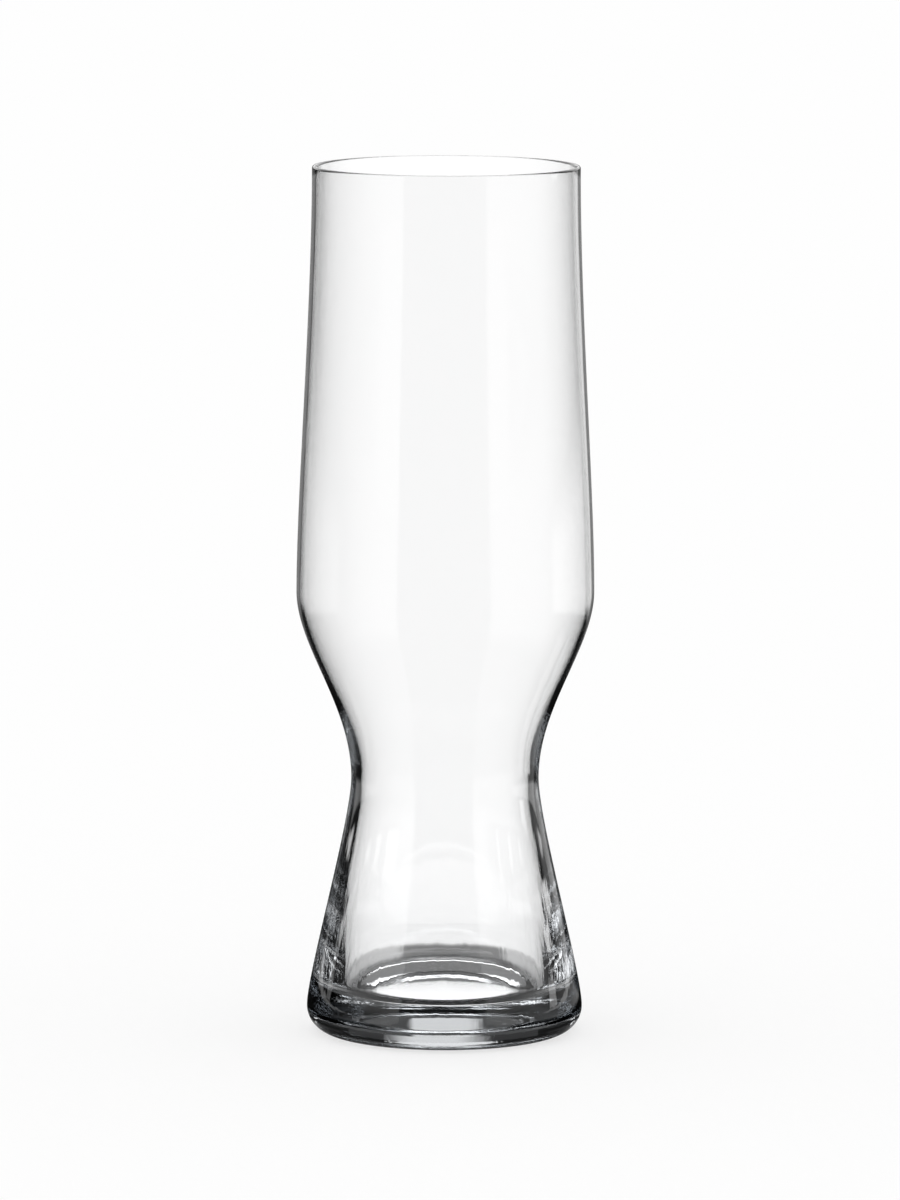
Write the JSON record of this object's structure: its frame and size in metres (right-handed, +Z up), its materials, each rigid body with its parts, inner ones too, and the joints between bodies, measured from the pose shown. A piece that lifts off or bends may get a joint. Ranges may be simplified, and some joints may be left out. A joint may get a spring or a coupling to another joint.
{
  "type": "weizen glass",
  "caption": "Tall clear wheat-beer glass: slightly tapered bowl with a fire-polished rim, narrow waist, flared foot and a heavy solid base.",
  "frame": {"origin": "middle of the underside, on the plane of the standing ring", "axes": "+Z up along the glass's axis from the base to the rim; X and Y are alike, because the glass is round"},
  "size_m": [0.0768, 0.0768, 0.225],
  "materials": {
    "glass": "clear colourless soda-lime glass, blown in a turning mould and fire-polished, full gloss"
  },
  "bodies": {
    "root": {"base": "glass", "foot": "glass", "shoulder": "glass", "bowl": "glass"}
  },
  "joints": []
}
